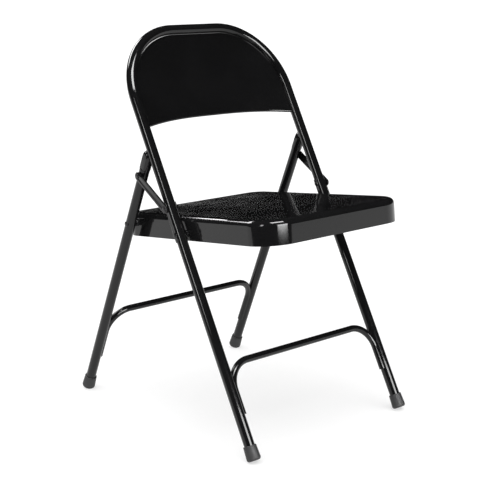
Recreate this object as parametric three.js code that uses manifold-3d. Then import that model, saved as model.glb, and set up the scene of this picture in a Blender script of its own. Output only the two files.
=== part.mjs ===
// All-steel folding chair, standing open. Millimetres, +Z up, the sitter faces -Y.
// The back and front legs are one bent tube. The seat pan turns on it and carries the rear
// legs, and a strut on each side ties a rear leg to the bent tube above the seat.
import * as THREE from "three";
import { mergeVertices } from "three/addons/utils/BufferGeometryUtils.js";
import Module from "manifold-3d";

const wasm = await Module();
wasm.setup();

const GAP = 0.3; // air left between pieces that touch
const RAD = Math.PI / 180;
const ORIGIN_SHIFT_Y = 1.2; // brings the middle of the footprint to y = 0

// Tubes
const TUBE_R = 10;
const TUBE_WALL = 1.2;
const BRACE_R = 6.7;
const TUBE_SIDES = 16;
const BRACE_SIDES = 12;

// Main frame: an inverted U, leaning back, in its own plane
const FRAME_LEAN = 28.7 * RAD;
const FRAME_FOOT_Y = -256.2;
const FRAME_HALF = 194; // tube axis to the middle plane
const FRAME_TOP = 842.4; // tube axis along the lean, from the floor
const FRAME_CORNER_R = 137.8;
const TUBE_START = 13; // the tubes stop inside their foot caps

// Rear legs
const LEG_LEAN = 23.035 * RAD;
const LEG_FOOT_Y = 261.7;
const LEG_HALF_FOOT = 203;
const LEG_SPLAY = 0.0117; // how far the legs draw in towards the top, per millimetre
const LEG_TOP = 549;

// Seat pan
const SEAT_TILT = 6.66 * RAD;
const SEAT_Z = 406.9;
const SEAT_HALF = 177.4;
const SEAT_FRONT = -269.8;
const SEAT_REAR = 154.9;
const SEAT_DEPTH = 44.9;
const SEAT_FRONT_CORNER_R = 60;
const SEAT_REAR_CORNER_R = 38;
const SEAT_EDGE_R = 9;
const SHEET = 1.5;

// Hinge points: along the main tube, or along the rear leg from the floor
const STRUT_PIN_T = 487;
const SEAT_PIN_T = 433.998;
const LEG_STRUT_PIN = 518.5;
const LEG_SEAT_PIN = 411;
const PIN_R = 3;
const PIN_HOLE_R = 3.3;
const HEAD_R = 5.6;
const HEAD_H = 1.6;

// Struts, hinge brackets and leg stops
const STRUT_HALF_WIDTH = 8;
const STRUT_THICK = 2.4;
const STRUT_X = 209.2;
const BRACKET_FROM = 422;
const BRACKET_TO = 497;
const BRACKET_R = 11.8;
const STOP_FROM = 531;
const STOP_TO = 571;
const STOP_R = 11.5;
const STOP_FLAT_X = 207.5; // its outer side is flat, clear of the strut

// Back panel
const PANEL_HALF = 183.4;
const PANEL_CORNER_T = 649;
const PANEL_RISE = 21; // how much higher the lower edge is in the middle
const PANEL_BOW = 22;
const PANEL_TOP_T = FRAME_TOP - TUBE_R - 0.6;

// Braces: arched tubes with their ends beside the legs
const BRACE_BEND_R = 48;
const BRACE_INSET = 8; // brace axis to leg axis
const FRONT_BRACE_T = 181.8;
const FRONT_BRACE_END_T = 88;
const REAR_BRACE_T = 194.4;
const REAR_BRACE_END_T = 84;

// Foot caps
const CAP_FRONT_START = 4.8;
const CAP_REAR_START = 3.5;
const CAP_LENGTH = 28;
const CAP_R_TOP = 12.2;
const CAP_R_FOOT = 13.2;
const CAP_EDGE_R = 4.5;

const enamel = { color: 0x0b0b0c, roughness: 0.18, metalness: 0.2 };
const greyEnamel = { color: 0x1a1a1b, roughness: 0.35, metalness: 0.2 };
const rubber = { color: 0x202021, roughness: 0.8, metalness: 0 };
const pinSteel = { color: 0x141415, roughness: 0.3, metalness: 0.6 };

// A closed geometry as a solid that can be joined and cut.
function solidOf(geometry) {
  const bare = geometry.clone();
  bare.deleteAttribute("normal");
  bare.deleteAttribute("uv");
  const merged = mergeVertices(bare, 1e-4);
  return new wasm.Manifold(
    new wasm.Mesh({
      numProp: 3,
      vertProperties: Float32Array.from(merged.attributes.position.array),
      triVerts: Uint32Array.from(merged.index.array),
    }),
  );
}

function geometryOf(solid) {
  const mesh = solid.getMesh();
  const geometry = new THREE.BufferGeometry();
  geometry.setAttribute("position", new THREE.BufferAttribute(mesh.vertProperties, 3));
  geometry.setIndex(new THREE.BufferAttribute(mesh.triVerts, 1));
  geometry.computeVertexNormals();
  return geometry;
}

const cut = (geometry, ...tools) =>
  geometryOf(tools.reduce((left, tool) => left.subtract(solidOf(tool)), solidOf(geometry)));

function piece(name, geometry, finish) {
  const mesh = new THREE.Mesh(geometry, new THREE.MeshStandardMaterial(finish));
  mesh.name = name;
  return mesh;
}

// A route of straights and bends through corner points in the XZ plane. Each straight is
// one step and each bend has its own steps, so points are spent where the tube curves.
class BentRoute extends THREE.Curve {
  constructor(corners, bendSteps) {
    super();
    const way = corners.map(([x, z]) => new THREE.Vector3(x, 0, z));
    const ahead = (i) => way[i + 1].clone().sub(way[i]).normalize();
    this.stations = [{ point: way[0], tangent: ahead(0) }];
    for (let i = 1; i < way.length - 1; i += 1) this.bend(way[i], corners[i][2], ahead(i - 1), ahead(i), bendSteps);
    this.stations.push({ point: way.at(-1), tangent: ahead(way.length - 2) });
    this.steps = this.stations.length - 1;
  }

  bend(corner, radius, before, after, steps) {
    const angle = before.angleTo(after);
    const axis = before.clone().cross(after).normalize();
    const start = corner.clone().addScaledVector(before, -radius * Math.tan(angle / 2));
    const inward = axis.clone().cross(before);
    const centre = start.clone().addScaledVector(inward, radius);
    for (let k = 0; k <= steps; k += 1) {
      const turn = (angle * k) / steps;
      const spoke = inward.clone().negate().applyAxisAngle(axis, turn).multiplyScalar(radius);
      this.stations.push({
        point: centre.clone().add(spoke),
        tangent: before.clone().applyAxisAngle(axis, turn),
      });
    }
  }

  getPointAt(u, target = new THREE.Vector3()) {
    return target.copy(this.stations[Math.round(u * this.steps)].point);
  }

  getTangentAt(u, target = new THREE.Vector3()) {
    return target.copy(this.stations[Math.round(u * this.steps)].tangent);
  }
}

const ring = (radius, sides) =>
  Array.from({ length: sides }, (_, k) => {
    const angle = (2 * Math.PI * (k + 0.5)) / sides;
    return new THREE.Vector2(radius * Math.cos(angle), radius * Math.sin(angle));
  });

// A tube along a route, hollow where a wall is given.
function tube(corners, radius, wall, sides, bendSteps = 1) {
  const route = new BentRoute(corners, bendSteps);
  const section = new THREE.Shape(ring(radius, sides));
  if (wall) section.holes.push(new THREE.Path(ring(radius - wall, sides).reverse()));
  return new THREE.ExtrudeGeometry(section, {
    steps: route.steps,
    extrudePath: route,
    bevelEnabled: false,
  });
}

// A rod along X between two places, at a height along the piece.
function crossRod(radius, fromX, toX, along, sides = 12) {
  return new THREE.CylinderGeometry(radius, radius, Math.abs(toX - fromX), sides)
    .rotateZ(Math.PI / 2)
    .translate((fromX + toX) / 2, 0, along);
}

// Floor as a thick block, seen from a group that leans by this angle about X.
const floorBlock = (lean) => new THREE.BoxGeometry(600, 200, 100).translate(0, 0, -50).rotateX(lean);

// A rubber foot cap: a cup round the tube's end, worn flat where it meets the floor.
function footCap(x, start, lean, splay = 0) {
  const bore = TUBE_R + GAP;
  const seat = TUBE_START - GAP - start;
  const profile = [
    [0, 0],
    ...[0, 22.5, 45, 67.5, 90].map((turn) => [
      CAP_R_FOOT - CAP_EDGE_R * (1 - Math.sin(turn * RAD)), CAP_EDGE_R * (1 - Math.cos(turn * RAD)),
    ]),
    [CAP_R_TOP, CAP_LENGTH - 1.2], [CAP_R_TOP - 0.5, CAP_LENGTH], [bore, CAP_LENGTH], [bore, seat], [0, seat],
  ];
  const cup = new THREE.LatheGeometry(profile.map(([r, z]) => new THREE.Vector2(r, z)), 20)
    .rotateX(Math.PI / 2)
    .translate(0, 0, start)
    .rotateY(-Math.sign(x) * splay)
    .translate(x, 0, 0);
  return cut(cup, floorBlock(lean));
}

// A half sleeve that hugs a tube from behind, between two places along it.
function halfSleeve(x, inner, outer, from, to, reach) {
  const shell = new THREE.Shape();
  shell.moveTo(-outer, -reach).lineTo(-outer, 0);
  shell.absarc(0, 0, outer, Math.PI, 0, true);
  shell.lineTo(outer, -reach).lineTo(inner, -reach).lineTo(inner, 0);
  shell.absarc(0, 0, inner, 0, Math.PI, false);
  shell.lineTo(-inner, -reach);
  return new THREE.ExtrudeGeometry(shell, { depth: to - from, bevelEnabled: false, curveSegments: 12 })
    .translate(x, 0, from);
}

// A round-headed rivet along X. Its head is outside, at headX, and it ends at tailX.
function rivet(headX, tailX, along, tailHead) {
  const side = Math.sign(headX - tailX);
  const length = Math.abs(headX - tailX);
  const tail = tailHead
    ? [[0, -HEAD_H], [HEAD_R - 2, -HEAD_H], [HEAD_R - 1, 0], [PIN_R, 0]]
    : [[0, 0], [PIN_R, 0]];
  const profile = [
    ...tail, [PIN_R, length], [HEAD_R, length], [HEAD_R - 0.8, length + HEAD_H * 0.6],
    [HEAD_R - 3, length + HEAD_H], [0, length + HEAD_H],
  ];
  return new THREE.LatheGeometry(profile.map(([r, z]) => new THREE.Vector2(r, z)), 14)
    .rotateZ(-side * Math.PI / 2)
    .translate(tailX, 0, along);
}

// A spacer ring along X between a tube and the skirt of the seat.
function spacer(fromX, toX, along) {
  const length = Math.abs(toX - fromX);
  const profile = [[PIN_HOLE_R, 0], [7, 0], [7, length], [PIN_HOLE_R, length], [PIN_HOLE_R, 0]];
  return new THREE.LatheGeometry(profile.map(([r, z]) => new THREE.Vector2(r, z)), 16)
    .rotateZ(Math.PI / 2)
    .translate(Math.max(fromX, toX), 0, along);
}

function mainFrame() {
  const bent = tube(
    [
      [-FRAME_HALF, TUBE_START], [-FRAME_HALF, FRAME_TOP, FRAME_CORNER_R],
      [FRAME_HALF, FRAME_TOP, FRAME_CORNER_R], [FRAME_HALF, TUBE_START],
    ],
    TUBE_R, TUBE_WALL, TUBE_SIDES, 12,
  );
  const holes = [STRUT_PIN_T, SEAT_PIN_T].map((t) => crossRod(PIN_HOLE_R, -220, 220, t));
  return piece("main_frame", cut(bent, ...holes), enamel);
}

// Height of the inner edge of the bent tube at a distance from the middle.
function archInside(x) {
  const inner = FRAME_CORNER_R - TUBE_R - 0.6;
  const past = Math.abs(x) - (FRAME_HALF - FRAME_CORNER_R);
  const spring = FRAME_TOP - FRAME_CORNER_R;
  return past <= 0 ? PANEL_TOP_T : spring + Math.sqrt(Math.max(inner ** 2 - past ** 2, 0));
}

// The sheet fills the arch, bows to the rear most along its lower edge, and meets the tube.
function backPanel() {
  const sheet = new THREE.BoxGeometry(2, 1, 1, 22, 1, 8);
  const at = sheet.attributes.position;
  const inset = FRAME_HALF - TUBE_R - 0.6;
  for (let i = 0; i < at.count; i += 1) {
    const across = Math.sin((at.getX(i) * Math.PI) / 2);
    const up = at.getZ(i) + 0.5;
    const x = Math.min(PANEL_HALF, inset) * across;
    const low = PANEL_CORNER_T + PANEL_RISE * (1 - across ** 2);
    const bow = PANEL_BOW * (1 - across ** 2) * Math.cos((up * Math.PI) / 2);
    at.setXYZ(i, x, bow + at.getY(i) * SHEET, low + up * (archInside(x) - low));
  }
  return piece("back_panel", geometryOf(solidOf(sheet)), enamel);
}

// An arched brace. Its ends lie against the insides of the two leg tubes.
function brace(name, top, end, halfAt) {
  const legs = [-1, 1].map((side) => [side * (halfAt(end) - BRACE_INSET), side * (halfAt(top) - BRACE_INSET)]);
  const arch = tube(
    [
      [legs[0][0], end], [legs[0][1], top, BRACE_BEND_R], [legs[1][1], top, BRACE_BEND_R], [legs[1][0], end],
    ],
    BRACE_R, TUBE_WALL, BRACE_SIDES, 8,
  );
  const beds = [-1, 1].map((side) =>
    tube([[side * halfAt(0), 0], [side * halfAt(top + 40), top + 40]], TUBE_R + GAP, 0, TUBE_SIDES));
  return piece(name, cut(arch, ...beds), enamel);
}

function hingeBracket(side) {
  const saddle = halfSleeve(side * FRAME_HALF, TUBE_R + GAP, BRACKET_R, BRACKET_FROM, BRACKET_TO, 4);
  const holes = [STRUT_PIN_T, SEAT_PIN_T].map((t) => crossRod(PIN_HOLE_R, side * 150, side * 240, t));
  return cut(saddle, ...holes);
}

const legHalf = (along) => LEG_HALF_FOOT - LEG_SPLAY * along;

function rearLeg(side) {
  const leg = tube([[side * legHalf(TUBE_START), TUBE_START], [side * legHalf(LEG_TOP), LEG_TOP]],
    TUBE_R, TUBE_WALL, TUBE_SIDES);
  return cut(leg, crossRod(PIN_HOLE_R, side * 150, side * 240, LEG_SEAT_PIN));
}

// The sleeve on a rear leg's top, shaped to bear on the main tube when the chair is open.
function legStop(side) {
  const x = side * legHalf(STOP_FROM);
  const sleeve = halfSleeve(x, TUBE_R + GAP, STOP_R, STOP_FROM, STOP_TO, 6);
  const crossing = (LEG_FOOT_Y - FRAME_FOOT_Y) / (Math.tan(FRAME_LEAN) + Math.tan(LEG_LEAN));
  const mainTube = new THREE.CylinderGeometry(TUBE_R + 0.5, TUBE_R + 0.5, 200, 24)
    .rotateX(Math.PI / 2)
    .rotateX(-FRAME_LEAN - LEG_LEAN)
    .translate(side * FRAME_HALF, 0, crossing / Math.cos(LEG_LEAN));
  const beside = new THREE.BoxGeometry(40, 60, 200).translate(side * (STOP_FLAT_X + 20), 0, STOP_FROM);
  return cut(sleeve, mainTube, beside);
}

// The pan is a pressed tray, open below, with rounded corners and a rounded upper edge.
function seatPan() {
  const tray = (wall, bottom) => {
    const edge = SEAT_EDGE_R - wall;
    const x = SEAT_HALF - SEAT_EDGE_R;
    const y0 = SEAT_FRONT + SEAT_EDGE_R;
    const y1 = SEAT_REAR - SEAT_EDGE_R;
    const front = SEAT_FRONT_CORNER_R - SEAT_EDGE_R;
    const rear = SEAT_REAR_CORNER_R - SEAT_EDGE_R;
    const outline = new THREE.Shape();
    outline.absarc(x - front, y0 + front, front, -Math.PI / 2, 0, false);
    outline.absarc(x - rear, y1 - rear, rear, 0, Math.PI / 2, false);
    outline.absarc(-x + rear, y1 - rear, rear, Math.PI / 2, Math.PI, false);
    outline.absarc(-x + front, y0 + front, front, Math.PI, 1.5 * Math.PI, false);
    return new THREE.ExtrudeGeometry(outline, {
      depth: -SEAT_EDGE_R - bottom,
      bevelThickness: edge, bevelSize: edge, bevelSegments: 3, curveSegments: 7,
    }).translate(0, 0, bottom);
  };
  const outer = tray(0, -SEAT_DEPTH);
  const inner = tray(SHEET, -SEAT_DEPTH - 10);
  const below = new THREE.BoxGeometry(600, 600, 60).translate(0, 0, -SEAT_DEPTH - 30);
  const holes = [frameToSeat(SEAT_PIN_T), legToSeat(LEG_SEAT_PIN)].map(([y, z]) =>
    crossRod(PIN_HOLE_R, -220, 220, z).translate(0, y, 0));
  return piece("seat_pan", cut(outer, inner, below, ...holes), enamel);
}

// A point of the middle plane, given in the chair's frame, as seen from the tilted seat.
function toSeat(y, z) {
  const s = y * Math.cos(SEAT_TILT) - (z - SEAT_Z) * Math.sin(SEAT_TILT);
  const h = y * Math.sin(SEAT_TILT) + (z - SEAT_Z) * Math.cos(SEAT_TILT);
  return [s, h];
}
function frameToSeat(t) {
  return toSeat(FRAME_FOOT_Y + t * Math.sin(FRAME_LEAN), t * Math.cos(FRAME_LEAN));
}
function legToSeat(along) {
  return toSeat(LEG_FOOT_Y - along * Math.sin(LEG_LEAN), along * Math.cos(LEG_LEAN));
}

// A flat bar with round ends and a pin hole at each, from the origin along +Z.
function strutBar(length) {
  const w = STRUT_HALF_WIDTH;
  const bar = new THREE.Shape();
  bar.absarc(0, 0, w, Math.PI, 2 * Math.PI, false);
  bar.absarc(0, length, w, 0, Math.PI, false);
  [0, length].forEach((y) => bar.holes.push(new THREE.Path().absarc(0, y, PIN_HOLE_R, 0, 2 * Math.PI, true)));
  return new THREE.ExtrudeGeometry(bar, { depth: STRUT_THICK, bevelEnabled: false, curveSegments: 8 })
    .translate(0, 0, -STRUT_THICK / 2)
    .rotateX(Math.PI / 2)
    .rotateZ(Math.PI / 2);
}

const group = new THREE.Group();
const chair = new THREE.Group();
chair.position.y = ORIGIN_SHIFT_Y;
group.add(chair);

const frame = new THREE.Group();
frame.position.y = FRAME_FOOT_Y;
frame.rotation.x = -FRAME_LEAN;
const legs = new THREE.Group();
legs.position.y = LEG_FOOT_Y;
legs.rotation.x = LEG_LEAN;
const seat = new THREE.Group();
seat.position.z = SEAT_Z;
seat.rotation.x = -SEAT_TILT;
chair.add(frame, legs, seat);

frame.add(mainFrame(), backPanel());
frame.add(brace("front_brace", FRONT_BRACE_T, FRONT_BRACE_END_T, () => FRAME_HALF));
legs.add(brace("rear_brace", REAR_BRACE_T, REAR_BRACE_END_T, legHalf));
seat.add(seatPan());

const strutFoot = new THREE.Vector2(FRAME_FOOT_Y + STRUT_PIN_T * Math.sin(FRAME_LEAN), STRUT_PIN_T * Math.cos(FRAME_LEAN));
const strutHead = new THREE.Vector2(LEG_FOOT_Y - LEG_STRUT_PIN * Math.sin(LEG_LEAN), LEG_STRUT_PIN * Math.cos(LEG_LEAN));
const strutLength = strutFoot.distanceTo(strutHead);

for (const [word, side] of [["left", -1], ["right", 1]]) {
  frame.add(
    piece("front_foot_cap_" + word, footCap(side * FRAME_HALF, CAP_FRONT_START, FRAME_LEAN), rubber),
    piece("hinge_bracket_" + word, hingeBracket(side), greyEnamel),
    piece("strut_rivet_" + word,
      rivet(side * (STRUT_X + STRUT_THICK / 2 + GAP), side * (FRAME_HALF - BRACKET_R - GAP), STRUT_PIN_T, true), pinSteel),
    piece("seat_rivet_" + word,
      rivet(side * (FRAME_HALF + BRACKET_R + GAP), side * (SEAT_HALF - SHEET - GAP), SEAT_PIN_T, true), pinSteel),
    piece("seat_spacer_" + word,
      spacer(side * (SEAT_HALF + GAP), side * (FRAME_HALF - BRACKET_R - GAP), SEAT_PIN_T), pinSteel),
  );
  const legInner = legHalf(LEG_SEAT_PIN) - TUBE_R - GAP;
  const legOuter = legHalf(LEG_SEAT_PIN) + TUBE_R + GAP;
  legs.add(
    piece("rear_leg_" + word, rearLeg(side), greyEnamel),
    piece("leg_stop_" + word, legStop(side), greyEnamel),
    piece("rear_foot_cap_" + word, footCap(side * LEG_HALF_FOOT, CAP_REAR_START, -LEG_LEAN, LEG_SPLAY), rubber),
    piece("leg_rivet_" + word, rivet(side * legOuter, side * (SEAT_HALF - SHEET - GAP), LEG_SEAT_PIN, true), pinSteel),
    piece("leg_spacer_" + word, spacer(side * (SEAT_HALF + GAP), side * legInner, LEG_SEAT_PIN), pinSteel),
  );
  const strut = new THREE.Group();
  strut.position.set(0, strutFoot.x, strutFoot.y);
  strut.rotation.x = -Math.atan2(strutHead.x - strutFoot.x, strutHead.y - strutFoot.y);
  const bar = piece("strut_" + word, strutBar(strutLength), greyEnamel);
  bar.position.x = side * STRUT_X;
  strut.add(
    bar,
    piece("strut_pin_" + word,
      rivet(side * (STRUT_X + STRUT_THICK / 2 + GAP), side * (legHalf(LEG_STRUT_PIN) + TUBE_R + GAP), strutLength, false),
      pinSteel),
  );
  chair.add(strut);
}

export default group;
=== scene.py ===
"""A gloss black all-steel folding chair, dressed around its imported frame.

Lengths are in metres, +Z is up and the sitter faces -Y. Each sub-assembly is a class that
models its pieces in its own plane, puts them in place and gives them their finish.
"""

import logging
import math
from dataclasses import dataclass
from enum import Enum
from typing import Callable, Sequence, Union

import bpy
from mathutils import Matrix, Vector


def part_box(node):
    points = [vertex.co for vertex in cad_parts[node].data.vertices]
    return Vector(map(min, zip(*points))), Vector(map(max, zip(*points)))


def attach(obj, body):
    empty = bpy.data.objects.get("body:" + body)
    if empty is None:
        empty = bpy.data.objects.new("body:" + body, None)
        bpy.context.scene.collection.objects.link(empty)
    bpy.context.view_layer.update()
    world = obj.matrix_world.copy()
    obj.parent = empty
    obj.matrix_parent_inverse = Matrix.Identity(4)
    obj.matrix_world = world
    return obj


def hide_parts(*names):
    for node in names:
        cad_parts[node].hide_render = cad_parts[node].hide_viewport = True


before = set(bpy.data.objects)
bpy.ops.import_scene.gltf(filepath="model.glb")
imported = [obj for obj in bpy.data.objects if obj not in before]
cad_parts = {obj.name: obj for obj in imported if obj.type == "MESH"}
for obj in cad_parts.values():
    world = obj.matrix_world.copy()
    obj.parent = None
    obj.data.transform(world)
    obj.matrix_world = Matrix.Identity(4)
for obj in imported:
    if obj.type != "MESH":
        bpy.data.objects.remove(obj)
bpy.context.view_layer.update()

log = logging.getLogger("folding_chair")
MM = 0.001
X = Vector((1.0, 0.0, 0.0))
Z = Vector((0.0, 0.0, 1.0))
SIDES = (("left", -1), ("right", 1))
AS_IT_LIES = Matrix.Identity(4)
TUBE_SIDES = 48


class Body(str, Enum):
    """The chair's bodies: the frame stands on the floor and the others turn."""

    FRAME = "frame"
    SEAT = "seat"
    REAR_LEGS = "rear_legs"
    STRUT_LEFT = "strut_left"
    STRUT_RIGHT = "strut_right"


class Slot(str, Enum):
    """The record's material slots."""

    ENAMEL = "enamel"
    RIVET = "rivet_steel"
    RUBBER = "foot_rubber"


# ---------------------------------------------------------------- plan of the chair


@dataclass(frozen=True)
class Plan:
    """Driving sizes of the chair, shared by its sub-assemblies."""

    shift_y: float = 1.2 * MM
    tube_r: float = 10.0 * MM
    brace_r: float = 6.7 * MM
    gap: float = 0.3 * MM
    frame_lean: float = math.radians(28.7)
    frame_foot_y: float = -256.2 * MM
    frame_half: float = 194.0 * MM
    frame_top: float = 842.4 * MM
    frame_corner_r: float = 137.8 * MM
    tube_start: float = 13.0 * MM
    leg_lean: float = math.radians(23.035)
    leg_foot_y: float = 261.7 * MM
    leg_half_foot: float = 203.0 * MM
    leg_splay: float = 0.0117
    leg_top: float = 533.0 * MM
    seat_tilt: float = math.radians(6.66)
    seat_z: float = 406.9 * MM

    def frame_place(self) -> Matrix:
        """Places the main tube's plane: local Z runs up the tube and local Y to the rear."""
        foot = Matrix.Translation((0, self.frame_foot_y + self.shift_y, 0))
        return foot @ Matrix.Rotation(-self.frame_lean, 4, "X")

    def legs_place(self) -> Matrix:
        """Places the rear legs' plane: local Z runs up the legs."""
        foot = Matrix.Translation((0, self.leg_foot_y + self.shift_y, 0))
        return foot @ Matrix.Rotation(self.leg_lean, 4, "X")

    def seat_place(self) -> Matrix:
        """Places the seat's top plane: local Z is its normal."""
        middle = Matrix.Translation((0, self.shift_y, self.seat_z))
        return middle @ Matrix.Rotation(-self.seat_tilt, 4, "X")

    def leg_half(self, along: float) -> float:
        """Distance of a rear leg's axis from the middle plane.

        Args:
            along: Distance up the leg from the floor.

        Returns:
            The distance in metres.
        """
        return self.leg_half_foot - self.leg_splay * along


# ---------------------------------------------------------------- modelling bench


def deselect() -> None:
    """Leaves nothing selected, in object mode."""
    if bpy.context.mode != "OBJECT":
        bpy.ops.object.mode_set(mode="OBJECT")
    bpy.ops.object.select_all(action="DESELECT")


def activate(piece: bpy.types.Object) -> None:
    """Selects one piece alone and makes it the active one."""
    deselect()
    piece.select_set(True)
    bpy.context.view_layer.objects.active = piece


def select(piece: bpy.types.Object, domain: str, test: Callable[[Vector, Vector], bool]) -> None:
    """Selects a mesh's faces, edges or vertices by their place, and leaves edit mode on.

    Args:
        piece: The piece to select on.
        domain: "FACE", "EDGE" or "VERT".
        test: Takes a centre and a normal, or for an edge its direction, and says whether it
            is wanted.
    """
    activate(piece)
    bpy.ops.object.mode_set(mode="EDIT")
    bpy.ops.mesh.select_mode(type=domain)
    bpy.ops.mesh.select_all(action="DESELECT")
    bpy.ops.object.mode_set(mode="OBJECT")
    mesh = piece.data
    place = [v.co for v in mesh.vertices]
    if domain == "FACE":
        for face in mesh.polygons:
            face.select = test(face.center, face.normal)
    elif domain == "EDGE":
        for edge in mesh.edges:
            a, b = (place[i] for i in edge.vertices)
            edge.select = test((a + b) / 2, (b - a).normalized())
    else:
        for vertex in mesh.vertices:
            vertex.select = test(vertex.co, vertex.normal)
    bpy.ops.object.mode_set(mode="EDIT")


def extrude(by: Vector) -> None:
    """Extrudes what is selected in edit mode."""
    bpy.ops.mesh.extrude_region_move(TRANSFORM_OT_translate={"value": tuple(by)})


def apply_modifier(piece: bpy.types.Object, kind: str, **settings: object) -> None:
    """Adds a modifier of this kind with these settings, and applies it.

    Args:
        piece: The piece it works on.
        kind: Blender's modifier type.
        **settings: Values of the modifier's own fields.
    """
    activate(piece)
    bpy.ops.object.modifier_add(type=kind)
    modifier = piece.modifiers[-1]
    for key, value in settings.items():
        setattr(modifier, key, value)
    bpy.ops.object.modifier_apply(modifier=modifier.name)


def close_up(piece: bpy.types.Object, merge: float = 1e-6) -> None:
    """Merges doubles and turns every face outwards, or all alike on an open sheet.

    Args:
        piece: The piece to clean.
        merge: Vertices nearer than this become one.
    """
    activate(piece)
    bpy.ops.object.mode_set(mode="EDIT")
    bpy.ops.mesh.select_all(action="SELECT")
    bpy.ops.mesh.remove_doubles(threshold=merge)
    bpy.ops.mesh.normals_make_consistent(inside=False)
    bpy.ops.object.mode_set(mode="OBJECT")


def settle(piece: bpy.types.Object, place: Matrix, smooth_deg: float = 40.0) -> bpy.types.Object:
    """Puts a piece in its place, with the place in its mesh, and smooths its shading.

    Args:
        piece: The piece, modelled in its own plane.
        place: Where that plane lies in the chair.
        smooth_deg: Edges sharper than this stay sharp.

    Returns:
        The same piece.
    """
    activate(piece)
    piece.matrix_world = place @ piece.matrix_world
    bpy.ops.object.transform_apply(location=True, rotation=True, scale=True)
    bpy.ops.object.shade_smooth_by_angle(angle=math.radians(smooth_deg))
    return piece


def named(name: str) -> bpy.types.Object:
    """Names the active object and its mesh.

    Args:
        name: The name of both.

    Returns:
        The object.
    """
    piece = bpy.context.view_layer.objects.active
    piece.name = name
    piece.data.name = name
    return piece


def disc(name: str, radius: float, at: Vector, facing: Vector, sides: int) -> bpy.types.Object:
    """Adds a filled circle, the start of a tube or of a turned piece.

    Args:
        name: The piece's name.
        radius: The circle's radius.
        at: Its centre.
        facing: Its normal.
        sides: Its number of vertices.

    Returns:
        The disc.
    """
    deselect()
    turn = facing.to_track_quat("Z", "Y").to_euler()
    bpy.ops.mesh.primitive_circle_add(
        vertices=sides, radius=radius, fill_type="NGON", location=tuple(at), rotation=tuple(turn)
    )
    piece = named(name)
    bpy.ops.object.transform_apply(location=True, rotation=True, scale=True)
    return piece


def bent_tube(
    name: str, corners: Sequence[Vector], bend_r: float, radius: float, sides: int = TUBE_SIDES,
    bend_steps: int = 28,
) -> bpy.types.Object:
    """Draws a tube along straights that meet in round bends, by extruding and spinning its end.

    Args:
        name: The piece's name.
        corners: The points where the straights would meet, with the two ends.
        bend_r: Radius of the tube's axis in each bend.
        radius: The tube's outer radius.
        sides: Faces round the tube.
        bend_steps: Steps in each bend.

    Returns:
        The closed tube.
    """
    heading = (corners[1] - corners[0]).normalized()
    piece = disc(name, radius, corners[0], heading, sides)
    bpy.ops.object.mode_set(mode="EDIT")
    bpy.ops.mesh.select_all(action="SELECT")
    here = corners[0].copy()
    for corner, after in zip(corners[1:-1], corners[2:]):
        onward = (after - corner).normalized()
        angle = heading.angle(onward)
        start = corner - heading * bend_r * math.tan(angle / 2)
        extrude(start - here)
        axis = heading.cross(onward).normalized()
        centre = start + axis.cross(heading) * bend_r
        bpy.ops.mesh.spin(steps=bend_steps, angle=-angle, center=tuple(centre), axis=tuple(axis))
        here = corner + onward * bend_r * math.tan(angle / 2)
        heading = onward
    extrude(corners[-1] - here)
    close_up(piece)
    return piece


def turned(
    name: str, profile: Sequence[tuple[float, float]], at: Vector, facing: Vector, sides: int = TUBE_SIDES,
) -> bpy.types.Object:
    """Turns a solid by extruding a disc step by step and scaling each new ring.

    Args:
        name: The piece's name.
        profile: Radius and distance along the axis at each step.
        at: The origin of the axis.
        facing: The axis.
        sides: Faces round the piece.

    Returns:
        The closed solid.
    """
    radius, along = profile[0]
    piece = disc(name, radius, at + facing * along, facing, sides)
    bpy.ops.object.mode_set(mode="EDIT")
    bpy.ops.mesh.select_all(action="SELECT")
    for new_radius, new_along in profile[1:]:
        extrude(facing * (new_along - along))
        scale = new_radius / radius
        centre = at + facing * new_along
        bpy.ops.transform.resize(value=(scale, scale, scale), center_override=tuple(centre))
        radius, along = new_radius, new_along
    close_up(piece)
    return piece


def difference(piece: bpy.types.Object, tool: bpy.types.Object) -> None:
    """Cuts one closed piece by another.

    Args:
        piece: The piece that is cut.
        tool: The cutting piece, which is thrown away.
    """
    apply_modifier(piece, "BOOLEAN", operation="DIFFERENCE", object=tool, solver="EXACT")
    bpy.data.objects.remove(tool, do_unlink=True)


def refined(node: str, bevel: float) -> bpy.types.Object:
    """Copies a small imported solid, joins its triangles and rounds its edges.

    Args:
        node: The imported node.
        bevel: Width of the rounding.

    Returns:
        The new piece, in place.
    """
    deselect()
    piece = bpy.data.objects.new(node + "_finished", bpy.data.objects[node].data.copy())
    bpy.context.scene.collection.objects.link(piece)
    close_up(piece, merge=1e-5)
    bpy.ops.object.mode_set(mode="EDIT")
    bpy.ops.mesh.dissolve_limited(angle_limit=math.radians(2.0))
    bpy.ops.object.mode_set(mode="OBJECT")
    round_edges(piece, bevel, 50.0)
    return settle(piece, AS_IT_LIES, 45.0)


def round_edges(piece: bpy.types.Object, width: float, sharper_deg: float) -> None:
    """Rounds every edge that is sharper than an angle in degrees."""
    limit = math.radians(sharper_deg)
    apply_modifier(piece, "BEVEL", width=width, segments=2, limit_method="ANGLE", angle_limit=limit)


# ---------------------------------------------------------------- finishes


Value = Union["Field", float]


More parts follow.
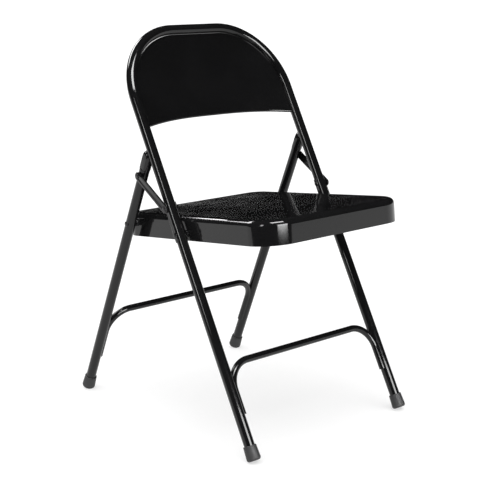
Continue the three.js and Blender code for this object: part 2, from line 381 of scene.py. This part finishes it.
class Field:
    """A number that varies over a surface: a node socket with arithmetic on it."""

    def __init__(self, shader: "Shader", socket: bpy.types.NodeSocket) -> None:
        """Wraps a socket of a shader's tree."""
        self.shader = shader
        self.socket = socket

    def _math(self, operation: str, a: Value, b: Value) -> "Field":
        """Adds one Math node."""
        return self.shader.node("ShaderNodeMath", {"operation": operation}, {0: a, 1: b})

    def __add__(self, other: Value) -> "Field":
        """Sum."""
        return self._math("ADD", self, other)

    __radd__ = __add__

    def __mul__(self, other: Value) -> "Field":
        """Product."""
        return self._math("MULTIPLY", self, other)

    __rmul__ = __mul__

    def __rsub__(self, other: Value) -> "Field":
        """Difference from a number."""
        return self._math("SUBTRACT", other, self)


class Shader:
    """One material's node tree, with a Principled surface."""

    def __init__(self, name: str) -> None:
        """Starts an empty material of this name."""
        self.material = bpy.data.materials.new(name)
        self.material.use_nodes = True
        self.tree = self.material.node_tree
        self.surface = next(n for n in self.tree.nodes if n.type == "BSDF_PRINCIPLED")
        self.place = self.tree.nodes.new("ShaderNodeTexCoord").outputs["Object"]

    def node(
        self, kind: str, settings: dict[str, object], inputs: dict[Union[int, str], object],
        output: Union[int, str] = 0,
    ) -> Field:
        """Adds a node.

        Args:
            kind: The node's type.
            settings: The node's own fields, or "stops" for a ramp's positions and greys.
            inputs: Values or fields for its sockets.
            output: The socket to hand back.

        Returns:
            The output as a field.
        """
        made = self.tree.nodes.new(kind)
        for key, value in settings.items():
            if key == "stops":
                for element, (position, grey) in zip(made.color_ramp.elements, value):
                    element.position = position
                    element.color = (grey, grey, grey, 1.0)
            else:
                setattr(made, key, value)
        for key, value in inputs.items():
            if isinstance(value, Field):
                self.tree.links.new(value.socket, made.inputs[key])
            elif isinstance(value, bpy.types.NodeSocket):
                self.tree.links.new(value, made.inputs[key])
            else:
                made.inputs[key].default_value = value
        return Field(self, made.outputs[output])

    def noise(self, scale: float, detail: float = 2.0, roughness: float = 0.5) -> Field:
        """Makes noise in object space.

        Args:
            scale: Waves per metre.
            detail: Octaves of finer noise.
            roughness: How much the finer octaves count.

        Returns:
            The noise, from 0 to 1.
        """
        return self.node(
            "ShaderNodeTexNoise", {},
            {"Vector": self.place, "Scale": scale, "Detail": detail, "Roughness": roughness}, "Fac",
        )

    def ramp(self, value: Field, low: float, high: float) -> Field:
        """Stretches a field.

        Args:
            value: The field.
            low: Where the result is 0.
            high: Where the result is 1.

        Returns:
            The stretched field.
        """
        stops = ((low, 0.0), (high, 1.0))
        return self.node("ShaderNodeValToRGB", {"stops": stops}, {"Fac": value}, "Color")

    def colour(self, mask: Field, plain: Sequence[float], other: Sequence[float]) -> None:
        """Mixes two colours into the surface's base colour.

        Args:
            mask: 0 for the plain colour and 1 for the other one.
            plain: The colour where the mask is 0.
            other: The colour where the mask is 1.
        """
        mixed = self.node(
            "ShaderNodeMix", {"data_type": "RGBA"}, {0: mask, 6: (*plain, 1.0), 7: (*other, 1.0)}, 2,
        )
        self.tree.links.new(mixed.socket, self.surface.inputs["Base Color"])

    def feed(self, name: str, value: Field) -> None:
        """Links a field to a socket of the surface."""
        self.tree.links.new(value.socket, self.surface.inputs[name])

    def bump(self, height: Field, distance: float, strength: float) -> None:
        """Bends the surface's normal by a height field.

        Args:
            height: The field, from 0 to 1.
            distance: What a height of 1 stands for.
            strength: How much of the bend is shown.
        """
        bumped = self.node(
            "ShaderNodeBump", {}, {"Height": height, "Distance": distance, "Strength": strength},
            "Normal",
        )
        self.tree.links.new(bumped.socket, self.surface.inputs["Normal"])


@dataclass(frozen=True)
class Enamel:
    """Baked gloss enamel: deep black, a faint orange peel, and a little haze from handling."""

    name: str = "gloss_black_enamel"
    black: tuple[float, float, float] = (0.0066, 0.0066, 0.0069)
    haze: tuple[float, float, float] = (0.0100, 0.0100, 0.0104)
    roughness: float = 0.06
    haze_roughness: float = 0.05
    peel_waves: float = 240.0
    peel_depth: float = 0.02 * MM
    peel_strength: float = 0.12
    haze_waves: float = 9.0
    speck_waves: float = 900.0
    speck_roughness: float = 0.05
    index: float = 1.40

    def build(self) -> bpy.types.Material:
        """Makes the material."""
        shader = Shader(self.name)
        patches = shader.ramp(shader.noise(self.haze_waves, 4.0, 0.6), 0.42, 0.78)
        specks = shader.ramp(shader.noise(self.speck_waves, 1.0), 0.66, 0.78)
        shader.colour(patches * 0.7 + specks * 0.15, self.black, self.haze)
        rough = self.roughness + patches * self.haze_roughness + specks * self.speck_roughness
        shader.feed("Roughness", rough)
        fine = shader.noise(self.peel_waves, 2.0, 0.45) * 0.8
        broad = shader.noise(self.peel_waves * 0.2, 1.0) * 0.5
        shader.bump(fine + broad, self.peel_depth, self.peel_strength)
        shader.surface.inputs["IOR"].default_value = self.index
        return shader.material


@dataclass(frozen=True)
class RivetBlack:
    """Black-coated rivet steel, a little duller than the enamel and rubbed on its crown."""

    name: str = "black_rivet_steel"
    coat: tuple[float, float, float] = (0.010, 0.010, 0.011)
    rubbed: tuple[float, float, float] = (0.045, 0.045, 0.048)
    roughness: float = 0.22
    rub_waves: float = 420.0
    grain_waves: float = 700.0
    grain_depth: float = 0.03 * MM

    def build(self) -> bpy.types.Material:
        """Makes the material."""
        shader = Shader(self.name)
        rubs = shader.ramp(shader.noise(self.rub_waves, 3.0, 0.6), 0.55, 0.85)
        shader.colour(rubs, self.coat, self.rubbed)
        shader.feed("Roughness", self.roughness + rubs * 0.2)
        shader.feed("Metallic", 0.3 + rubs * 0.5)
        shader.bump(shader.noise(self.grain_waves, 2.0), self.grain_depth, 0.3)
        return shader.material


@dataclass(frozen=True)
class FootRubber:
    """Matt black moulded rubber with a fine grain and a trace of floor dust."""

    name: str = "black_foot_rubber"
    rubber: tuple[float, float, float] = (0.018, 0.018, 0.019)
    dust: tuple[float, float, float] = (0.060, 0.059, 0.057)
    roughness: float = 0.55
    dust_waves: float = 260.0
    fine_waves: float = 1400.0
    coarse_waves: float = 300.0
    grain_depth: float = 0.06 * MM

    def build(self) -> bpy.types.Material:
        """Makes the material."""
        shader = Shader(self.name)
        height = shader.node("ShaderNodeSeparateXYZ", {}, {0: shader.place}, "Z")
        low = 1.0 - shader.ramp(height * 20.0, 0.0, 0.5)
        scuffs = shader.ramp(shader.noise(self.dust_waves, 4.0, 0.65), 0.45, 0.75) * low
        shader.colour(scuffs * 0.7, self.rubber, self.dust)
        shader.feed("Roughness", self.roughness + scuffs * 0.3)
        grain = shader.noise(self.fine_waves, 2.0) + shader.noise(self.coarse_waves) * 0.5
        shader.bump(grain, self.grain_depth, 0.35)
        return shader.material


@dataclass
class Finishes:
    """The chair's finishes, built once."""

    enamel: bpy.types.Material
    rivet: bpy.types.Material
    rubber: bpy.types.Material

    def dress(self, piece: bpy.types.Object, slot: Slot) -> None:
        """Gives a piece the material of a slot, and no other.

        Args:
            piece: The piece to dress.
            slot: The finish's slot.
        """
        by_slot = {Slot.ENAMEL: self.enamel, Slot.RIVET: self.rivet, Slot.RUBBER: self.rubber}
        material = by_slot[slot]
        piece.data.materials.clear()
        piece.data.materials.append(material)
        for face in piece.data.polygons:
            face.material_index = 0


def commit(piece: bpy.types.Object, body: Body, slot: Slot, finishes: Finishes, node: str) -> None:
    """Registers a finished piece.

    Args:
        piece: The piece, in place.
        body: The body it rides on.
        slot: The finish's slot.
        finishes: The chair's finishes.
        node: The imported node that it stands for.
    """
    finishes.dress(piece, slot)
    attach(piece, body.value)
    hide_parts(node)
    log.info("%s: %d faces, on %s", piece.name, len(piece.data.polygons), body.value)


# ---------------------------------------------------------------- sub-assemblies


@dataclass
class MainFrame:
    """The bent tube that is back and front legs, with its brace, hinge brackets and foot caps."""

    plan: Plan
    finishes: Finishes
    brace_bend_r: float = 48.0 * MM
    brace_inset: float = 8.0 * MM
    brace_t: float = 181.8 * MM
    brace_end_t: float = 88.0 * MM
    cap_start: float = 4.8 * MM
    bracket_bevel: float = 0.5 * MM

    def build(self) -> None:
        """Models and registers every piece of the frame but the back panel."""
        plan = self.plan
        half, start, top = plan.frame_half, plan.tube_start, plan.frame_top
        outline = ((-half, start), (-half, top), (half, top), (half, start))
        corners = [Vector((x, 0, t)) for x, t in outline]
        tube = bent_tube("frame_tube", corners, plan.frame_corner_r, plan.tube_r, bend_steps=40)
        settle(tube, plan.frame_place())
        commit(tube, Body.FRAME, Slot.ENAMEL, self.finishes, "main_frame")
        arch = arched_brace(
            "front_brace_arch", plan, self.brace_t, self.brace_end_t, self.brace_inset, self.brace_bend_r,
            lambda along: plan.frame_half,
        )
        settle(arch, plan.frame_place())
        commit(arch, Body.FRAME, Slot.ENAMEL, self.finishes, "front_brace")
        for word, side in SIDES:
            bracket = refined("hinge_bracket_" + word, self.bracket_bevel)
            commit(bracket, Body.FRAME, Slot.ENAMEL, self.finishes, "hinge_bracket_" + word)
            foot = Vector((side * half, 0, 0))
            cap = foot_cap("front_cap_" + word, foot, Z, self.cap_start, plan.frame_place())
            commit(cap, Body.FRAME, Slot.RUBBER, self.finishes, "front_foot_cap_" + word)


@dataclass
class BackPanel:
    """The pressed back: a sheet in the tube's arch, with a raised lip along it and a rolled hem."""

    plan: Plan
    finishes: Finishes
    sheet: float = 1.2 * MM
    inset: float = 10.6 * MM
    corner_t: float = 650.0 * MM
    rise: float = 20.5 * MM
    fullness: float = 2.4
    bow: float = 26.0 * MM
    lip_in: float = 2.7 * MM
    lip_width: float = 1.6 * MM
    lip_height: float = 0.45 * MM
    hem_r: float = 2.2 * MM
    hem_steps: int = 10
    hem_turn: float = math.radians(270.0)
    across: int = 200
    up: int = 90

    def arch(self, x: float) -> float:
        """Finds the height of the arch's inner edge.

        Args:
            x: Distance from the middle plane.

        Returns:
            The distance up the tube's plane.
        """
        plan = self.plan
        inner = plan.frame_corner_r - self.inset
        past = abs(x) - (plan.frame_half - plan.frame_corner_r)
        spring = plan.frame_top - plan.frame_corner_r
        if past <= 0:
            return plan.frame_top - self.inset
        return spring + math.sqrt(max(inner**2 - past**2, 0.0))

    def low_edge(self, x: float) -> float:
        """Finds the height of the panel's lower edge.

        Args:
            x: Distance from the middle plane.

        Returns:
            The distance up the tube's plane.
        """
        side = x / (self.plan.frame_half - self.inset)
        return self.corner_t + self.rise * (1 - abs(side) ** self.fullness)

    def rim_distance(self, x: float, t: float) -> float:
        """Measures how far a point of the sheet is from the arch's edge.

        Args:
            x: Distance from the middle plane.
            t: Distance up the tube's plane.

        Returns:
            The distance in metres.
        """
        plan = self.plan
        inner = plan.frame_corner_r - self.inset
        cx, ct = plan.frame_half - plan.frame_corner_r, plan.frame_top - plan.frame_corner_r
        if t < ct:
            return plan.frame_half - self.inset - abs(x)
        if abs(x) < cx:
            return plan.frame_top - self.inset - t
        return inner - math.hypot(abs(x) - cx, t - ct)

    def form(self, u: float, v: float) -> Vector:
        """Finds a point of the sheet's surface.

        Args:
            u: Place across, from -1 to 1.
            v: Place up, from 0 at the lower edge to 1 at the arch.

        Returns:
            The point, in the tube's plane.
        """
        plan = self.plan
        side = math.sin(u * math.pi / 2)
        v = math.sin(v * math.pi / 2)
        x = (plan.frame_half - self.inset) * side
        low = self.low_edge(x)
        t = low + v * (self.arch(x) - low)
        bow = self.bow * (1 - side**2) * math.cos(v * math.pi / 2)
        rim = self.rim_distance(x, t)
        lip = self.lip_height * math.exp(-(((rim - self.lip_in) / self.lip_width) ** 2))
        return Vector((x, bow - lip, t))

    def build(self) -> None:
        """Models and registers the panel."""
        deselect()
        bpy.ops.mesh.primitive_grid_add(x_subdivisions=self.across, y_subdivisions=self.up, size=2.0)
        panel = named("back_sheet")
        for vertex in panel.data.vertices:
            vertex.co = self.form(vertex.co.x, (vertex.co.y + 1.0) / 2.0)
        select(panel, "VERT", lambda place, _: place.z < self.low_edge(place.x) + 1e-5)
        turn = self.hem_turn / self.hem_steps
        for step in range(self.hem_steps):
            angle = (step + 0.5) * turn
            chord = 2 * self.hem_r * math.sin(turn / 2)
            extrude(Vector((0, chord * math.sin(angle), -chord * math.cos(angle))))
        bpy.ops.object.mode_set(mode="OBJECT")
        close_up(panel)
        apply_modifier(panel, "SOLIDIFY", thickness=self.sheet, offset=0.0)
        settle(panel, self.plan.frame_place())
        commit(panel, Body.FRAME, Slot.ENAMEL, self.finishes, "back_panel")


@dataclass
class SeatPan:
    """The pressed seat: a tray with round corners, a rolled edge and a turned-in rim."""

    plan: Plan
    finishes: Finishes
    half: float = 177.4 * MM
    front: float = -269.8 * MM
    rear: float = 154.9 * MM
    depth: float = 44.9 * MM
    front_corner_r: float = 57.0 * MM
    rear_corner_r: float = 38.0 * MM
    edge_r: float = 11.0 * MM
    sheet: float = 1.2 * MM
    rim: float = 7.0 * MM
    corner_segments: int = 16
    edge_segments: int = 8
    top_rings: tuple[float, ...] = (5.0 * MM, 5.0 * MM, 6.0 * MM, 6.0 * MM)

    def build(self) -> None:
        """Models and registers the pan."""
        deselect()
        length = self.rear - self.front
        middle = (self.rear + self.front) / 2
        bpy.ops.mesh.primitive_cube_add(
            size=1.0, location=(0, middle, -self.depth / 2), scale=(2 * self.half, length, self.depth),
        )
        pan = named("seat_shell")
        bpy.ops.object.transform_apply(location=True, rotation=True, scale=True)
        for radius, at_front in ((self.front_corner_r, True), (self.rear_corner_r, False)):

            def upright(c: Vector, d: Vector) -> bool:
                """Whether this is one of the corner edges at this end."""
                stands = abs(d.z) > 0.9 and abs(c.z + self.depth / 2) < MM
                return stands and (c.y < middle) == at_front

            select(pan, "EDGE", upright)
            bpy.ops.mesh.bevel(offset=radius, segments=self.corner_segments, profile=0.5)
        select(pan, "FACE", lambda c, n: n.z < -0.9)
        bpy.ops.mesh.delete(type="ONLY_FACE")
        select(pan, "EDGE", lambda c, d: abs(c.z) < 1e-6)
        bpy.ops.mesh.bevel(offset=self.edge_r, segments=self.edge_segments, profile=0.5)
        select(pan, "FACE", lambda c, n: n.z > 0.99 and abs(c.z) < 1e-6)
        for width in self.top_rings:
            bpy.ops.mesh.inset(thickness=width, depth=0.0)
        select(pan, "EDGE", lambda c, d: abs(c.z + self.depth) < 1e-6)
        for share, lift in ((0.15, 0.0), (0.6, 0.0), (0.25, 0.25)):
            extrude(Vector((0, 0, lift * self.rim)))
            reach = self.rim * share
            scale = (1 - reach / self.half, 1 - reach / (length / 2), 1.0)
            bpy.ops.transform.resize(value=scale, center_override=(0, middle, -self.depth))
        bpy.ops.object.mode_set(mode="OBJECT")
        close_up(pan)
        apply_modifier(pan, "SOLIDIFY", thickness=self.sheet, offset=-1.0)
        settle(pan, self.plan.seat_place(), 35.0)
        apply_modifier(pan, "WEIGHTED_NORMAL", mode="FACE_AREA", weight=100, keep_sharp=True)
        commit(pan, Body.SEAT, Slot.ENAMEL, self.finishes, "seat_pan")


@dataclass
class RearLegs:
    """The two rear leg tubes with their brace, stops and caps."""

    plan: Plan
    finishes: Finishes
    brace_bend_r: float = 48.0 * MM
    brace_inset: float = 8.0 * MM
    brace_t: float = 194.4 * MM
    brace_end_t: float = 84.0 * MM
    cap_start: float = 3.5 * MM
    stop_from: float = 531.0 * MM
    stop_to: float = 571.0 * MM
    stop_r: float = 10.8 * MM
    stop_flat: float = 8.9 * MM
    stop_bevel: float = 0.5 * MM
    bed_span: tuple[float, float] = (430 * MM, 640 * MM)

    def stop(self, word: str, side: int) -> None:
        """Models a leg's flattened top, which bears on the main tube when the chair is open.

        Args:
            word: "left" or "right".
            side: -1 on the left and 1 on the right.
        """
        plan = self.plan
        x = side * plan.leg_half((self.stop_from + self.stop_to) / 2)
        rise = self.stop_to - self.stop_from
        profile = [
            (plan.tube_r - 0.5 * MM, 0.0), (plan.tube_r + 0.1 * MM, 0.3 * MM), (self.stop_r, 4 * MM),
            (self.stop_r, rise - 13 * MM), (self.stop_r - 0.5 * MM, rise - 8 * MM),
            (self.stop_r - 1.8 * MM, rise - 4 * MM), (self.stop_r - 4 * MM, rise - 1.2 * MM),
            (self.stop_r - 6.5 * MM, rise - 0.2 * MM),
        ]
        top = turned("leg_top_" + word, profile, Vector((x, 0, self.stop_from)), Z)
        bpy.ops.object.mode_set(mode="EDIT")
        bpy.ops.mesh.select_all(action="SELECT")
        bpy.ops.mesh.bisect(
            plane_co=(x + side * self.stop_flat, 0, 0), plane_no=(side, 0, 0),
            use_fill=True, clear_outer=True,
        )
        bpy.ops.object.mode_set(mode="OBJECT")
        settle(top, plan.legs_place())
        place = plan.frame_place()
        low, high = (place @ Vector((side * plan.frame_half, 0, t)) for t in self.bed_span)
        difference(top, bent_tube("tube_bed", [low, high], 0.0, plan.tube_r + plan.gap))
        round_edges(top, self.stop_bevel, 25.0)
        settle(top, AS_IT_LIES, 35.0)
        commit(top, Body.REAR_LEGS, Slot.ENAMEL, self.finishes, "leg_stop_" + word)

    def build(self) -> None:
        """Models and registers every piece of the rear legs."""
        plan = self.plan
        arch = arched_brace(
            "rear_brace_arch", plan, self.brace_t, self.brace_end_t, self.brace_inset, self.brace_bend_r,
            plan.leg_half,
        )
        settle(arch, plan.legs_place())
        commit(arch, Body.REAR_LEGS, Slot.ENAMEL, self.finishes, "rear_brace")
        for word, side in SIDES:
            foot = Vector((side * plan.leg_half(plan.tube_start), 0, plan.tube_start))
            top = Vector((side * plan.leg_half(plan.leg_top), 0, plan.leg_top))
            leg = bent_tube("rear_tube_" + word, [foot, top], 0.0, plan.tube_r)
            settle(leg, plan.legs_place())
            commit(leg, Body.REAR_LEGS, Slot.ENAMEL, self.finishes, "rear_leg_" + word)
            self.stop(word, side)
            axis = Vector((-side * plan.leg_splay, 0, 1)).normalized()
            foot = Vector((side * plan.leg_half_foot, 0, 0))
            cap = foot_cap("rear_cap_" + word, foot, axis, self.cap_start, plan.legs_place())
            commit(cap, Body.REAR_LEGS, Slot.RUBBER, self.finishes, "rear_foot_cap_" + word)


@dataclass
class Hinges:
    """Struts, rivets and spacers on both sides."""

    plan: Plan
    finishes: Finishes
    head_r: float = 5.2 * MM
    head_h: float = 1.6 * MM
    pin_head_r: float = 3.7 * MM
    pin_head_h: float = 1.1 * MM
    shank_r: float = 3.0 * MM
    head_edge: float = 0.3 * MM
    peened: tuple[tuple[float, float], ...] = ((2.6 * MM, 0.0), (4.2 * MM, 0.4 * MM))
    peened_r: float = 4.6 * MM
    rivet_sides: int = 28
    strut_bevel: float = 0.6 * MM
    spacer_bevel: float = 0.3 * MM

    def rivet(self, node: str, body: Body, both_ends: bool) -> None:
        """Turns a round-headed rivet over the place of a packed rivet.

        Args:
            node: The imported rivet.
            body: The body it rides on.
            both_ends: Whether its inner end is peened over as well.
        """
        head_r = self.head_r if both_ends else self.pin_head_r
        head_h = self.head_h if both_ends else self.pin_head_h
        low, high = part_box(node)
        side = 1.0 if (low.x + high.x) > 0 else -1.0
        outer, inner = (high.x, low.x) if side > 0 else (low.x, high.x)
        axis = X * side
        at = Vector((inner, (low.y + high.y) / 2, (low.z + high.z) / 2))
        length = abs(outer - inner) - (0.0 if both_ends else self.head_h - head_h)
        base = length - head_h
        tail = [(self.shank_r, 0.0)]
        if both_ends:
            tail = [*self.peened, (self.peened_r, head_h), (self.shank_r, head_h + 0.01 * MM)]
        dome = [
            (head_r * math.cos(a), base + self.head_edge + (head_h - self.head_edge) * math.sin(a))
            for a in (math.radians(d) for d in range(0, 80, 12))
        ]
        profile = tail + [(self.shank_r, base), (head_r, base)] + dome
        piece = turned(node + "_turned", profile, at, axis, self.rivet_sides)
        settle(piece, AS_IT_LIES, 35.0)
        commit(piece, body, Slot.RIVET, self.finishes, node)

    def build(self) -> None:
        """Models and registers every piece of the hinges."""
        for word, _ in SIDES:
            strut_body = Body.STRUT_LEFT if word == "left" else Body.STRUT_RIGHT
            bar = refined("strut_" + word, self.strut_bevel)
            commit(bar, strut_body, Slot.ENAMEL, self.finishes, "strut_" + word)
            self.rivet("strut_rivet_" + word, Body.FRAME, True)
            self.rivet("seat_rivet_" + word, Body.FRAME, True)
            self.rivet("leg_rivet_" + word, Body.REAR_LEGS, True)
            self.rivet("strut_pin_" + word, strut_body, False)
            for kind, body in (("seat_spacer_", Body.FRAME), ("leg_spacer_", Body.REAR_LEGS)):
                ring = refined(kind + word, self.spacer_bevel)
                commit(ring, body, Slot.RIVET, self.finishes, kind + word)


def arched_brace(
    name: str, plan: Plan, top: float, end: float, inset: float, bend_r: float,
    half_at: Callable[[float], float],
) -> bpy.types.Object:
    """Bends a brace and beds its ends against the insides of two leg tubes.

    Args:
        name: The piece's name.
        plan: The chair's sizes.
        top: How far up the legs its bar lies.
        end: How far up the legs its ends stop.
        inset: Distance of its legs' axes from the leg tubes' axes.
        bend_r: Radius of its bends.
        half_at: Distance of a leg tube's axis from the middle plane, by distance up the leg.

    Returns:
        The brace, in the legs' plane.
    """
    low, high = half_at(end) - inset, half_at(top) - inset
    outline = ((-low, end), (-high, top), (high, top), (low, end))
    corners = [Vector((x, 0, t)) for x, t in outline]
    brace = bent_tube(name, corners, bend_r, plan.brace_r, 32, 20)
    for _, side in SIDES:
        foot = Vector((side * half_at(0.0), 0, 0))
        above = top + 40 * MM
        head = Vector((side * half_at(above), 0, above))
        difference(brace, bent_tube("bed", [foot, head], 0.0, plan.tube_r + plan.gap))
    close_up(brace)
    return brace


def foot_cap(name: str, foot: Vector, axis: Vector, start: float, place: Matrix) -> bpy.types.Object:
    """Turns a rubber cap with a shouldered top, and trims it level with the floor.

    Args:
        name: The piece's name.
        foot: Where the leg's axis meets the floor, in the leg's plane.
        axis: The leg's direction there.
        start: Where the cap begins along the axis.
        place: Where the leg's plane lies in the chair.

    Returns:
        The cap, in place.
    """
    foot_r, top_r, length, edge = 13.2 * MM, 12.2 * MM, 28.0 * MM, 4.5 * MM
    bore = 10.25 * MM
    sole = [(0.4 * MM, 0.0), (foot_r - edge, 0.0)]
    toe = [
        (foot_r - edge * (1 - math.sin(a)), edge * (1 - math.cos(a)))
        for a in (math.radians(d) for d in (15, 30, 45, 60, 75, 90))
    ]
    wall = [(foot_r - 0.3 * MM, 12 * MM), (top_r + 0.1 * MM, length - 4 * MM), (top_r, length - 1.2 * MM)]
    lip = [(top_r - 0.35 * MM, length - 0.35 * MM), (top_r - 0.9 * MM, length), (bore + 0.2 * MM, length),
           (bore, length - 0.4 * MM), (bore, length - 8 * MM), (1.0 * MM, length - 8 * MM)]
    profile = [(r, start + z) for r, z in sole + toe + wall + lip]
    cap = turned(name, profile, foot, axis)
    settle(cap, place, 35.0)
    activate(cap)
    bpy.ops.object.mode_set(mode="EDIT")
    bpy.ops.mesh.select_all(action="SELECT")
    bpy.ops.mesh.bisect(plane_co=(0, 0, 0), plane_no=(0, 0, 1), use_fill=True, clear_inner=True)
    bpy.ops.object.mode_set(mode="OBJECT")
    return cap


# ---------------------------------------------------------------- studio


@dataclass(frozen=True)
class SoftLight:
    """A soft rectangular light that looks at the chair."""

    name: str
    azimuth: float
    elevation: float
    distance: float
    width: float
    height: float
    watts: float


@dataclass(frozen=True)
class Studio:
    """A pale floor, soft lights and the camera."""

    azimuth: float = 41.207
    elevation: float = 13.373
    distance: float = 2.262
    aim: tuple[float, float, float] = (0.0, 0.0012, 0.32745)
    lens: float = 84.57
    sensor: float = 36.0
    light_aim: tuple[float, float, float] = (0.0, 0.0, 0.4)
    sky_angle: float = math.radians(100.0)
    sky_tilt: tuple[float, float] = (math.radians(8.0), math.radians(-14.0))
    floor_size: float = 60.0
    floor_greys: tuple[float, float] = (0.43, 0.46)
    floor_drop: float = 0.2 * MM
    floor_glow: float = 0.60
    floor_split: float = 1.2
    floor_split_azimuth: float = 50.0
    air: float = 1.0
    sun: float = 4.5
    lights: tuple[SoftLight, ...] = (
        SoftLight("rear_softbox", 168.0, 40.5, 3.0, 1.9, 0.75, 75.0),
        SoftLight("right_softbox", 2.0, 11.0, 3.0, 1.9, 1.2, 125.0),
        SoftLight("left_softbox", 74.0, 21.0, 3.0, 0.4, 1.1, 20.0),
        SoftLight("overhead_softbox", 12.0, 64.0, 2.6, 1.6, 0.8, 95.0),
    )

    @staticmethod
    def direction(azimuth: float, elevation: float) -> Vector:
        """Finds a unit vector from the chair towards a camera or a light.

        Args:
            azimuth: Degrees from the chair's front towards -X.
            elevation: Degrees above the floor.

        Returns:
            The unit vector.
        """
        a, e = math.radians(azimuth), math.radians(elevation)
        return Vector((-math.sin(a) * math.cos(e), -math.cos(a) * math.cos(e), math.sin(e)))

    def camera(self) -> None:
        """Makes the camera and sets it as the scene's."""
        data = bpy.data.cameras.new("camera")
        data.lens = self.lens
        data.sensor_width = self.sensor
        data.clip_end = 200.0
        camera = bpy.data.objects.new("camera", data)
        bpy.context.scene.collection.objects.link(camera)
        back = self.direction(self.azimuth, self.elevation)
        camera.location = Vector(self.aim) + back * self.distance
        camera.rotation_euler = (-back).to_track_quat("-Z", "Y").to_euler()
        bpy.context.scene.camera = camera

    def floor(self) -> None:
        """Makes the floor, mottled and glowing, in two halves: the near one is not reflected."""
        shader = Shader("pale_floor")
        dark, pale = ((grey,) * 3 for grey in self.floor_greys)
        shader.colour(shader.noise(1.5, 2.0), dark, pale)
        shader.surface.inputs["Emission Color"].default_value = (1.0, 1.0, 1.0, 1.0)
        shader.surface.inputs["Emission Strength"].default_value = self.floor_glow
        shader.surface.inputs["Roughness"].default_value = 0.9
        shader.surface.inputs["Specular IOR Level"].default_value = 0.0
        out = self.direction(self.floor_split_azimuth, 0.0)
        turn = math.atan2(out.y, out.x)
        for name, side in (("far", -1), ("near", 1)):
            deselect()
            centre = out * (self.floor_split + side * self.floor_size / 2)
            bpy.ops.mesh.primitive_plane_add(
                size=self.floor_size, location=(centre.x, centre.y, -self.floor_drop),
                rotation=(0, 0, turn),
            )
            half = named("studio_floor_" + name)
            half.data.materials.append(shader.material)
            half.visible_glossy = side < 0

    def build(self) -> None:
        """Sets up the camera, the floor and the lights."""
        self.camera()
        self.floor()
        scene = bpy.context.scene
        scene.view_settings.view_transform = "Standard"
        world = bpy.data.worlds.new("studio_air")
        world.use_nodes = True
        world.node_tree.nodes["Background"].inputs["Color"].default_value = (*(self.air,) * 3, 1.0)
        scene.world = world
        world.cycles_visibility.glossy = False
        world.cycles_visibility.diffuse = False
        data = bpy.data.lights.new("sky_light", "SUN")
        data.energy = self.sun
        data.angle = self.sky_angle
        sky = bpy.data.objects.new("sky_light", data)
        sky.rotation_euler = (*self.sky_tilt, 0.0)
        sky.visible_glossy = False
        scene.collection.objects.link(sky)
        for light in self.lights:
            lamp = bpy.data.lights.new(light.name, "AREA")
            lamp.shape = "RECTANGLE"
            lamp.size, lamp.size_y, lamp.energy = light.width, light.height, light.watts
            holder = bpy.data.objects.new(light.name, lamp)
            back = self.direction(light.azimuth, light.elevation)
            holder.location = Vector(self.light_aim) + back * light.distance
            holder.rotation_euler = (-back).to_track_quat("-Z", "Y").to_euler()
            holder.visible_camera = False
            holder.visible_diffuse = False
            scene.collection.objects.link(holder)


def main() -> None:
    """Builds the studio and the chair."""
    logging.basicConfig(level=logging.INFO, format="%(message)s")
    Studio().build()
    plan = Plan()
    finishes = Finishes(Enamel().build(), RivetBlack().build(), FootRubber().build())
    for assembly in (MainFrame, BackPanel, SeatPan, RearLegs, Hinges):
        assembly(plan, finishes).build()
        log.info("%s done", assembly.__name__)


if __name__ == "__main__":
    main()
